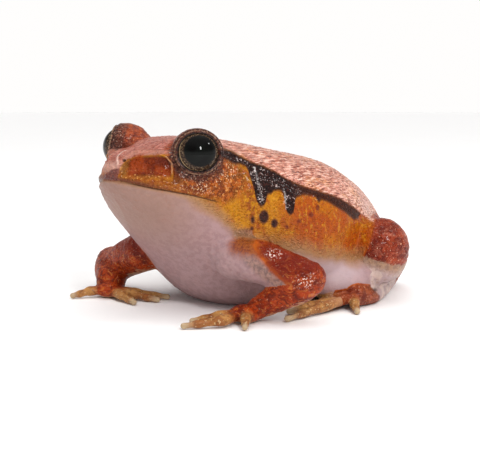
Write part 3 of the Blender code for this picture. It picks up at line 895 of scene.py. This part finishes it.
# %% Spots below the band: side plus back, height, half length, half height
SPOTS = (
    (44.2, 21.6, 1.5, 1.45), (47.4, 20.1, 1.05, 1.0), (40.8, 21.1, 0.6, 0.8), (40.6, 19.2, 0.45, 0.45),
)
RED_SPOTS = ((55.0, 20.4, 0.75, 0.5), (58.8, 21.6, 0.85, 0.6), (51.3, 19.2, 0.5, 0.4), (61.0, 23.0, 0.7, 0.6))


def in_spots(spots):
    """Millimetres inside the nearest spot; on the right side the spots stand a little elsewhere."""
    found = np.full(len(points), OUTSIDE)
    for place, level, half_length, half_height in spots:
        shift = other_side * 1.4 * math.sin(place * 2.3)
        reach = np.hypot((along - place - shift) / half_length, (height - level + shift * 0.6) / half_height)
        found = np.maximum(found, (1 - reach) * min(half_length, half_height))
    return np.where((on_flank > 0.5) & (limb_ratio > 1.2), found, OUTSIDE)


black_spots = in_spots(SPOTS)
red_spots = in_spots(RED_SPOTS)
print("points in spots:", int((black_spots > 0).sum()), int((red_spots > 0).sum()))

# %% Masks of the digits and palms
off_digit = np.full(len(points), FAR)
tip_share = np.zeros(len(points))
low = np.flatnonzero(points[:, 2] < DIGIT_ZONE)
for side, joints in digit_lines:
    away, _, passed = from_line(points[low], joints, side)
    nearer = away < off_digit[low]
    off_digit[low[nearer]] = away[nearer]
    tip_share[low[nearer]] = passed[nearer]
palm_gap = np.full(len(points), FAR)
for word, side in SIDES.items():
    gap = lengths(points[low] - np.array(PALM[word]) * (side, 1, 1))
    palm_gap[low] = np.minimum(palm_gap[low], gap)
by_digit = rise(off_digit, 2.6, 1.5)
on_digit = by_digit * rise(tip_share, 0.0, 0.46)
on_palm = rise(palm_gap, 4.6, 3.6)
print("points on digits:", int((on_digit > 0.5).sum()))

# %% Where the limbs' red ends
near_arm = (limb_kind == UPPER_ARM_KIND) & (points[:, 0] > 0)
thigh, foot = limb_kind == THIGH_KIND, limb_kind == FOOT_KIND
leg = thigh | (limb_kind == SHANK_KIND)
on_limb = np.where(thigh, rise(limb_ratio, 1.12, 0.98), rise(limb_ratio, 1.45, 1.08))
over_arm = 5.0 * rise(back, 20.5, 24.0) * rise(height, 17.0, 15.5)
shoulder = np.abs(points[:, 0]) + height + over_arm
arm_out = np.where(near_arm, rise(shoulder, 37.6, 41.6), 1.0)
leg_out = np.where((leg | foot) & (height > 6), rise(along - (height - 13.5) * 0.55, 76.6, 78.6), 1.0)
limb_mask = np.maximum(on_limb * arm_out * leg_out, np.maximum(by_digit, on_palm))
armpit = on_limb * near_arm * (1 - arm_out) * rise(shoulder, 32.5, 37.5) * (back < 22)
knee_border = np.interp(along, (77, 84, 91), (11.4, 9.8, 8.8)) - height
knee_pale = rise(knee_border, -1.5, 1.5) * rise(back, 72, 62) * leg
sole_pale = foot * rise(back + height * 0.8, 53.0, 56.2) * rise(back, 74, 66) * 0.85
facing_floor = rise(-normals_of(skin.data)[:, 2], 0.72, 0.98)
limb_pale = np.maximum(facing_floor * (limb_kind < THIGH_KIND), np.maximum(knee_pale, sole_pale))
print("points in the limbs' red:", int((limb_mask > 0.5).sum()))

# %% Face
cheek = at_place(points, (15.4, 14.6, 29.6), (6.0, 7.0, 4.2)) * rise(-before_fold, 0.0, 1.2)
across = points[:, 0]
patch_top = np.interp(across, (-1.8, -0.8, 1.2, 2.7), (29.9, 30.9, 32.0, 32.3))
snout_patch = np.minimum.reduce([patch_top - height, height - 29.75, 2.9 - across, across + 1.8])
snout_patch = np.where(back < 1.5, snout_patch, OUTSIDE)
# Wet places at the shoulder, elbow and knee: the skin there is glossier, and glints are painted into its
# colour.
WET_GLINT_JOINTS = (
    (1.0, (27.0, 20.0, 14.8), (2.2, 2.0, 1.3)),
    (1.0, (33.8, 21.8, 9.6), (2.4, 2.4, 1.6)),
    (0.8, (28.0, 54.0, 15.5), (3.6, 3.4, 3.0)),
)
wet_joint = sum(share * at_place(points, spot, width) for share, spot, width in WET_GLINT_JOINTS)
print("points in the snout's patch:", int((snout_patch > 0).sum()))

# %% Keep the measures on the skin
by_fold = (back < 9.5) & (height > 29.2) & (height < 34.9)
MARKS = dict(
    above_back_edge=above_back_edge, above_band_edge=above_band_edge, black_spots=black_spots,
    red_spots=red_spots, above_belly_edge=above_belly_edge, mouth_share=mouth_share, back=back,
    limb_pale=limb_pale, armpit=armpit, in_panel=in_panel, cheek=cheek, snout_patch=snout_patch,
    wet_joint=wet_joint, lid_ratio=lid_ratio, nostril_gap=nostril_gap, curl=curl_gap,
    leg_fold=leg_fold_gap, limb=limb_mask, foot=foot * limb_mask, digit=on_digit,
    digit_tip=tip_share * on_digit,
    above_mouth=np.where(mouth_share > 0.03, above_mouth, FAR),
    panel_low=height - PANEL_LOW,
    panel_front=along - PANEL_FRONT,
    below_ridge=np.where(back < 8.0, below_ridge, FAR),
    before_fold=np.where(by_fold, before_fold, FAR),
    snout_pale=at_place(points, (0.6, -1.4, 32.4), (2.6, 1.8, 1.6)),
    # where painted shade darkens the hollow in front of the far eye
    far_lore=at_spot(points, (-7.4, 7.4, 36.2), (4.2, 2.8, 1.5)),
    arm_high=rise(height, 9.5, 13.0) * (back < 40),
    below_knee=np.where(leg, knee_border, FAR),
    groin=at_place(points, (26.5, 41.0, 8.0), (5.0, 9.0, 5.0)),
    eye_distance=eye_distance(points),
    ear_fold=line_gap(mirrored, EAR_FOLD),
    shoulder_fold=np.where(points[:, 0] > 0, line_gap(points, SHOULDER_FOLD), FAR),
    throat_fold=line_gap(points, THROAT_FOLD),
    drip_shine=line_gap(mirrored, DRIP_FOLD),
    second_shine=line_gap(mirrored, SECOND_DRIP),
)


def keep_on_points(mesh, name, values):
    layer = mesh.attributes.new(name, "FLOAT", "POINT")
    layer.data.foreach_set("value", np.array(values, np.float32))


for name, values in MARKS.items():
    keep_on_points(skin.data, name, values)
print("marks on the skin:", len(MARKS))

# %% Put the skin in its place
points[:, 1] += FRONT_Y
move_points(skin.data, points * MM)
skin.data.shade_smooth()
flesh_nodes = [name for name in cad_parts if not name.startswith("eye")]
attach(skin, "root")
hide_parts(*flesh_nodes)
print("the skin replaces", len(flesh_nodes), "nodes")

# %% [markdown]
# ## The skin's colours
# In life the back is salmon, the flanks run from orange to yellow and fade into a mauve-grey belly, and
# the limbs are brick red with a dark net. These are laid over one another in the order in which a painter
# would work: the ground first, then the belly, the limbs, the face and the black marks.

# %% Ground colours
skin_material, shader, start = new_material("moist_skin")
marks = SimpleNamespace(**{name: marked(start, name) for name in MARKS})
place = millimetres(start)
fine = clouds(place, 2.2, 3.0)
coarse = clouds(place, 0.35, 3.0)
broad = clouds(place, 0.12, 2.0)
blotch = clouds(place, 0.8, 3.0, 0.6)
speckled, blotched = fine.step(0.42, 0.6), blotch.step(0.42, 0.6)
patchy = coarse.step(0.4, 0.6)
warts = cells(stretched(place, (1.0, 0.5, 1.0)), 1.8)
small_warts = cells(place, 2.4)
jitter = (fine - 0.5) * 1.1 + (coarse - 0.5) * 1.2
by_drips = marks.back.step(33.0, 25.0)
grain = clouds(stretched(place, (1.0, 1.0, 0.45)), 1.3, 4.0, 0.65)
flank = layered(
    mixed("a24604", "b87804", broad.step(0.42, 0.62) * 0.35 + by_drips * 0.6),
    ("943a02", coarse.step(0.54, 0.68) * 0.6),
    ("c98a1e", grain.step(0.46, 0.34) * 0.6),
    ("8a3002", grain.step(0.56, 0.66) * 0.5),
)
edge = marks.above_back_edge + jitter * 0.35
lines = clouds(stretched(place, (1.0, 0.16, 1.0)), 2.5, 2.5, 0.6)
salmon = layered(
    mixed("d08c78", "bc735e", coarse.step(0.42, 0.66)),
    ("d08a55", clouds(place, 0.2, 3.0).step(0.52, 0.68) * 0.6),
    ("f6cdbb", lines.step(0.48, 0.38) * 0.75),
    ("6e382c", lines.step(0.53, 0.60) * 0.85),
    ("5e3029", warts.step(0.2, 0.08) * blotch.step(0.48, 0.58) * 0.8),
    # painted glints on the back's warts
    ("fff0e8", painted_glints(place, 2.4, 0.12) * coarse.step(0.55, 0.42) * 0.7),
    # towards the rear, pale streaks along the back's edge: a painted sheen on its ridge
    ("f3d6c6", edge.step(5.0, 0.8) * marks.back.step(42.0, 60.0) * lines.step(0.56, 0.44) * 0.45),
)
ground = mixed(flank, salmon, edge.step(-0.2, 0.35))


def count_nodes(step):
    print("nodes after", step + ":", len(skin_material.node_tree.nodes))


count_nodes("the ground")

# %% Belly and throat
belly_edge = marks.above_belly_edge + (coarse - 0.5) * 2.4 * marks.back.step(4.0, 12.0)
belly_edge = belly_edge + marks.back.step(16.0, 30.0) * 1.4
belly = layered(
    mixed("a88787", "9c7c7d", clouds(place, 0.8, 3.0).step(0.4, 0.62)),
    ("b49794", small_warts.step(0.34, 0.15) * 0.35),
    # the throat under the head is darker: its own browner tone, deepened with painted shade
    ("92705f", marks.back.step(16.0, 4.0) * 0.75),
    ("b9a3a6", marks.groin.step(0.2, 0.9) * 0.8),
)
lower_flank = mixed("a0744c", ground, belly_edge.step(0.8, 5.0))
ground = mixed(belly, lower_flank, belly_edge.step(-1.6, 1.8))
folded = (marks.shoulder_fold + jitter * 0.8).step(3.8, 1.2)
by_ear = (marks.ear_fold + jitter * 0.8).step(3.2, 0.8) * blotch.step(0.44, 0.56)
ground = layered(
    ground,
    (mixed("92480c", "6e2806", speckled), folded * 0.88),
    ("84360e", by_ear * edge.step(0.0, -1.0) * 0.75),
    # a pale line along the throat's fold: a painted highlight on its crest
    ("d9bdb2", marks.throat_fold.step(0.55, 0.2) * 0.7),
)
count_nodes("the belly")

# %% Head and lids
near_eye = marks.eye_distance
on_head = marks.back.step(20.0, 13.0) * edge.step(-0.2, 0.4)
mauve = layered(
    mixed("b06c61", "9c5347", blotched),
    ("d9a294", warts.step(0.3, 0.12) * 0.6),
    ("7a4034", lines.step(0.52, 0.60) * 0.6),
    ("9a4c38", marks.back.step(9.0, 2.0) * patchy * 0.5),
)
bulge_tone = layered(
    mixed("6c2209", "9c4012", blotched),
    # painted glints on the bulge round the eye
    ("d6925c", painted_glints(place, 2.6, 0.2) * 0.6),
)
ground = layered(
    ground,
    (mauve, on_head * 0.75),
    (bulge_tone, (near_eye + jitter * 0.6).step(7.8, 6.4) * 0.85),
    # painted shade in the hollow in front of the far eye
    ("5a2214", (marks.far_lore + jitter * 0.2).step(0.3, 0.75) * 0.85),
)
count_nodes("the head")

# %% Lip, cheek and panel
mouth_up = marks.above_mouth
upper_side = mouth_up.step(-0.1, 0.25)
lip = upper_side * mouth_up.step(3.2, 1.6) * marks.back.step(16.0, 11.0)
lip_tone = layered(
    mixed("80360a", "985212", blotch.step(0.4, 0.6)),
    # painted glints on the upper lip
    ("d9a352", painted_glints(place, 2.6, 0.18) * 0.7),
    ("5a281e", marks.back.step(7.0, 0.5) * mouth_up.step(1.5, 0.4) * 0.85),
)
cheek_mask = marks.cheek.step(0.12, 0.5) * mouth_up.step(0.3, 1.4)
# painted glints on the cheek: gold ones all over it and pale ones round the eye
cheek_glints = painted_glints(place, 2.7, 0.30) * near_eye.step(11.0, 8.0) * near_eye.step(5.6, 6.6)
cheek_tone = layered(
    mixed("64240c", "a85016", blotch.step(0.44, 0.6)),
    ("dc9c58", painted_glints(place, 2.3, 0.24) * 0.8),
    ("f3cba6", cheek_glints * coarse.step(0.6, 0.4) * 0.95),
)
panel = (marks.in_panel + jitter * 0.25).step(-0.3, 0.45)
# painted glints on the panel, away from its lower border
panel_glints = painted_glints(place, 2.6, 0.15) * marks.panel_low.step(2.4, 0.8)
panel_tone = layered(
    mixed("641e04", "883204", patchy),
    ("8c5a1c", (marks.panel_front + jitter * 0.5).step(3.0, 1.0) * 0.7),
    ("a0601a", (marks.panel_low + jitter * 0.4).step(1.0, -0.2) * 0.8),
    ("e0a560", panel_glints * 0.8),
)
ridge, fold = marks.below_ridge, marks.before_fold
on_ridge = ridge.step(0.1, -0.3) * fold.step(-0.6, 0.4)
ground = layered(
    ground,
    (lip_tone, lip * 0.9),
    (cheek_tone, cheek_mask * 0.85),
    ("8e4632", on_ridge * ridge.step(-2.2, -0.7) * marks.panel_front.step(2.0, 5.0) * 0.5),
    # a pale line on the ridge's crest above the panel: a painted highlight
    ("d29a86", on_ridge * ridge.step(-1.1, -0.5) * 0.3),
    (panel_tone, panel),
    # painted shade in the furrow behind the fold in front of the eye
    ("5e2411", fold.step(-0.2, -0.7) * fold.step(-4.0, -2.2) * 0.75),
    # a pale line on the fold's crest: a painted highlight
    ("d09a6c", fold.step(0.34, 0.12) * fold.step(-0.34, -0.12) * marks.panel_low.step(0.2, 1.6) * 0.6),
    ("e6c6b8", marks.curl.step(0.36, 0.12) * 0.7),
)
count_nodes("the face")

# %% Snout's tip, mouth line and nostrils
patch = (marks.snout_patch + jitter * 0.3).step(-0.15, 0.2)
line = mouth_up.step(0.2, 0.06) * mouth_up.step(-0.2, -0.06) * marks.mouth_share
lid_out = marks.lid_ratio
lid_tone = layered(
    mixed("3a1d17", "6b4034", speckled),
    # painted glints on the lids, outside their rims
    ("c9a690", painted_glints(place, 2.4, 0.18) * lid_out.step(1.04, 1.1) * 0.7),
)
round_lids = (lid_out + jitter * 0.12).step(1.45, 1.12) * (near_eye + jitter * 0.3).step(7.0, 5.9)
margin = lid_out.step(1.015, 1.03) * lid_out.step(1.075, 1.05) * fine.step(0.40, 0.52)
ground = layered(
    ground,
    ("c39a8c", marks.snout_pale.step(0.1, 0.9) * 0.6),
    (mixed("5c2f2b", "7d4a42", speckled), patch * 0.9),
    ("43200f", line * marks.back.step(-1.0, 1.6) * 0.85),
    ("2a120c", marks.nostril_gap.step(0.55, 0.25) * 0.9),
    (lid_tone, round_lids),
    ("a98768", margin * 0.7),
    # the sunken skin inside the lids' opening, near black: painted shade between lid and eyeball
    ("14100e", lid_out.step(1.01, 0.98)),
)
count_nodes("the snout and lids")

# %% Limbs
drift = place.node("TexNoise", None, {"Vector": place, "Scale": 0.35, "Detail": 2.0}, 1)
bent = place.node("VectorMath", {"operation": "SCALE"}, {0: drift, 3: 5.0})
swirl = place.node("VectorMath", {"operation": "ADD"}, {0: place, 1: bent})
streaks = clouds(stretched(swirl, (0.7, 0.7, 1.7)), 1.0, 4.0, 0.65)
knee = marks.back.step(40.0, 44.0)
painted_joint_glints = marks.wet_joint.step(0.15, 1.0)
clusters = coarse.step(0.56, 0.44)
red = layered(
    mixed("a03606", "7a2000", coarse.step(0.42, 0.6)),
    ("4c1203", streaks.step(0.5, 0.6) * 0.7),
    ("c87c38", streaks.step(0.45, 0.36) * 0.5),
    ("6c1200", marks.arm_high * 0.72),
    (mixed("7c2410", "9c3d20", blotched), knee * 0.7),
    # painted shade: the red darkens towards the fold between shank and foot
    ("5c1206", marks.leg_fold.step(2.9, 1.0) * 0.6),
    (mixed("7c3a18", "9c5a30", blotched), marks.foot * 0.45),
    ("5a1006", clouds(place, 0.28, 3.0).step(0.5, 0.62) * knee * 0.6),
    # on the knee, pale patches as painted highlights, then painted glints over all the red
    ("c0705a", clusters * streaks.step(0.5, 0.4) * knee * 0.35),
    ("f4c2a4", painted_glints(place, 2.4, 0.12) * (0.25 + knee * clusters * 0.5)),
    # painted glints on the wet shoulder, elbow and knee
    ("fbdccf", painted_glints(place, 2.2, 0.32) * painted_joint_glints * 0.85),
)
knee_rim = (marks.below_knee + jitter * 1.2).step(3.2, 0.8)
pale_limb = layered(
    mixed("b49a98", "cbb2a8", patchy),
    ("957560", blotch.step(0.56, 0.64) * 0.35),
    (mixed("a87d56", "8c6548", blotch.step(0.44, 0.58)), knee_rim * 0.75),
    ("b57f5a", 1 - knee),
)
pale_share = (marks.limb_pale + jitter * 0.25 + (blotch - 0.5) * 0.9).step(0.35, 0.65)
limb = mixed(red, pale_limb, pale_share)
# the armpit's grey-brown mottles, deepened as painted shade under the arm
armpit_mottle_and_shade = mixed("93705f", "5c463f", clouds(place, 1.3, 3.0, 0.6).step(0.42, 0.62))
limb_in = marks.limb + jitter * 0.3
limb_rim = mixed("b0530c", "8f3a0c", patchy)
tan = layered(
    mixed("b48048", "965c30", coarse.step(0.42, 0.62)),
    ("6a3a20", streaks.step(0.5, 0.62) * 0.55),
    # painted glints on the digits
    ("d9bd8c", painted_glints(place, 1.6, 0.2) * 0.6),
    ("c0ac8c", marks.digit_tip.step(0.7, 1.0) * 0.75),
)
ground = layered(
    ground,
    # mottles and painted shade in the armpit
    (armpit_mottle_and_shade, marks.armpit.step(0.1, 0.9) * (1 - folded) * 0.72),
    (limb_rim, limb_in.step(0.02, 0.45) * (1 - pale_share)),
    (limb, limb_in.step(0.35, 0.95)),
    # painted shade: a dark line in the fold between shank and foot
    ("3a160c", marks.leg_fold.step(0.7, 0.2) * 0.7),
    (tan, marks.digit.step(0.2, 0.8)),
)
count_nodes("the limbs")

# %% Black band and spots
in_band = (edge * -1.0).least(marks.above_band_edge + jitter * 0.3)
front_band = marks.back.step(36.0, 30.0)
glints = painted_glints(place, 2.5, 0.3) * clouds(place, 0.5).step(0.42, 0.56) * front_band
black = layered(
    mixed("3a1507", "4e2410", fine.step(0.45, 0.65)),
    (mixed("160402", "36120a", fine.step(0.45, 0.65)), front_band * 0.8 + 0.2),
    ("cfb9b4", glints * in_band.step(0.2, 0.8) * 0.8),
)
shine = marks.drip_shine.step(0.5, 0.1).most(marks.second_shine.step(0.42, 0.1))
shine = shine * fine.step(0.40, 0.52)
spots = marks.black_spots + jitter * 0.2
ground = layered(
    ground,
    ("6f2610", (marks.red_spots + jitter * 0.2).step(-0.25, 0.25) * 0.85),
    ("4a200e", in_band.step(-0.45, 0.1) * 0.85),
    (black, in_band.step(-0.05, 0.4)),
    ("f2e6e2", shine * in_band.step(-1.2, -0.5) * 0.85),
    ("5a2a18", spots.step(-0.3, 0.1) * 0.7),
    (mixed("2a0d06", "43190c", speckled), spots.step(-0.05, 0.4)),
)
feed(ground, shader, "Base Color")
count_nodes("the black marks")

# %% [markdown]
# ## Wet, granular shine
# The skin is moist, so light glints from every wart. Relief too fine for the mesh goes into a Bump node,
# and the roughness falls on top of the warts, where the wet skin is stretched tight.

# %% Relief and gloss
rough_parts = belly_edge.step(-1.0, 3.0) * 0.85 + 0.15
cobble = (0.5 - warts).most(0.0) * 0.7 + (0.45 - small_warts).most(0.0) * 0.9 + (fine - 0.5) * 0.3
relief = cobble * rough_parts * (marks.digit * -0.5 + 1.0)
relief = relief + (streaks - 0.5) * marks.limb * 0.9
bump = start.node("Bump", None, {"Height": relief, "Strength": 1.0, "Distance": 0.0006})
feed(bump, shader, "Normal")
wetness = rough_parts * (small_warts.step(0.4, 0.15) * 0.2 + (coarse - 0.5) * 0.3)
dryness = 0.52 - belly_edge.step(-3.0, 2.0) * 0.14 - wetness
feed((dryness - marks.wet_joint * 0.15).most(0.12), shader, "Roughness")
shader.inputs["Specular IOR Level"].default_value = 0.15
shader.inputs["Subsurface Weight"].default_value = 0.1
shader.inputs["Subsurface Radius"].default_value = (1.0, 0.35, 0.2)
shader.inputs["Subsurface Scale"].default_value = 0.0008
feed((1 - marks.groin.step(0.1, 0.6)) * 0.12, shader, "Coat Weight")
shader.inputs["Coat Roughness"].default_value = 0.12
skin.data.materials.append(skin_material)
count_nodes("relief and gloss")

# %% [markdown]
# ## Eyes
# The eye is nearly all pupil: a large black disc inside a thin ring of iris with fine gold threads, and a
# pale rim where the clear front meets the white. One finely divided ball holds all of it, its front
# swollen a little as a cornea is, and its colours are rings measured from the way the eye looks.

# %% Eyeballs
CORNEA = 0.35
CORNEA_EDGE = 0.55
LOOK = {word: Vector((0.81 * side, -0.55, 0.24)).normalized() for word, side in SIDES.items()}


def eyeball(word):
    bm = bmesh.new()
    bmesh.ops.create_uvsphere(bm, u_segments=96, v_segments=64, radius=EYE_RADIUS)
    for vertex in bm.verts:
        lean = vertex.co.z / EYE_RADIUS
        vertex.co *= 1 + CORNEA / EYE_RADIUS * max(0.0, lean - CORNEA_EDGE) / (1 - CORNEA_EDGE)
    turned = LOOK[word].to_track_quat("Z", "Y").to_matrix().to_4x4()
    centre = EYE_PLACE[word] + Vector((0, FRONT_Y, 0))
    rings = [vertex.co.angle(Vector((0, 0, 1))) for vertex in bm.verts]
    bm.transform(Matrix.Scale(MM, 4) @ Matrix.Translation(centre) @ turned)
    made = pieces_object("eyeball_" + word, bm)
    keep_on_points(made.data, "ring", rings)
    made.data.shade_smooth()
    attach(made, "root")
    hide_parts("eye_" + word)
    return made


eyeballs = [eyeball(word) for word in SIDES]
print("eyeballs:", [e.name for e in eyeballs])

# %% Iris, pupil and rim
eye_material, shader, start = new_material("wet_eye")
ring = marked(start, "ring")
place = millimetres(start)
threads = clouds(place, 3.2, 4.0, 0.65)
iris = mixed(mixed("2a1a12", "77624a", threads.step(0.5, 0.62)), "1f130e", ring.step(0.78, 0.70) * 0.6)
pupil = mixed("030202", "080a08", clouds(place, 0.3).step(0.4, 0.6))
rim = ring.step(0.94, 0.96) * ring.step(1.0, 0.98)
eye_colour = layered(
    mixed(pupil, iris, (ring + (threads - 0.5) * 0.04).step(0.67, 0.72)),
    ("b09472", rim * 0.85),
    ("23140e", ring.step(1.0, 1.05)),
)
feed(eye_colour, shader, "Base Color")
shader.inputs["Roughness"].default_value = 0.02
shader.inputs["IOR"].default_value = 1.4
shader.inputs["Specular IOR Level"].default_value = 0.25
for eye in eyeballs:
    eye.data.materials.append(eye_material)
print("nodes in the eye's material:", len(eye_material.node_tree.nodes))

# %% [markdown]
# Dressing must not change the animal's size, so the box of the dressed model is printed.

# %% Print the dressed box and finish
low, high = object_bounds()
print("dressed box in mm:", [round(1000 * (b - a), 1) for a, b in zip(low, high)])
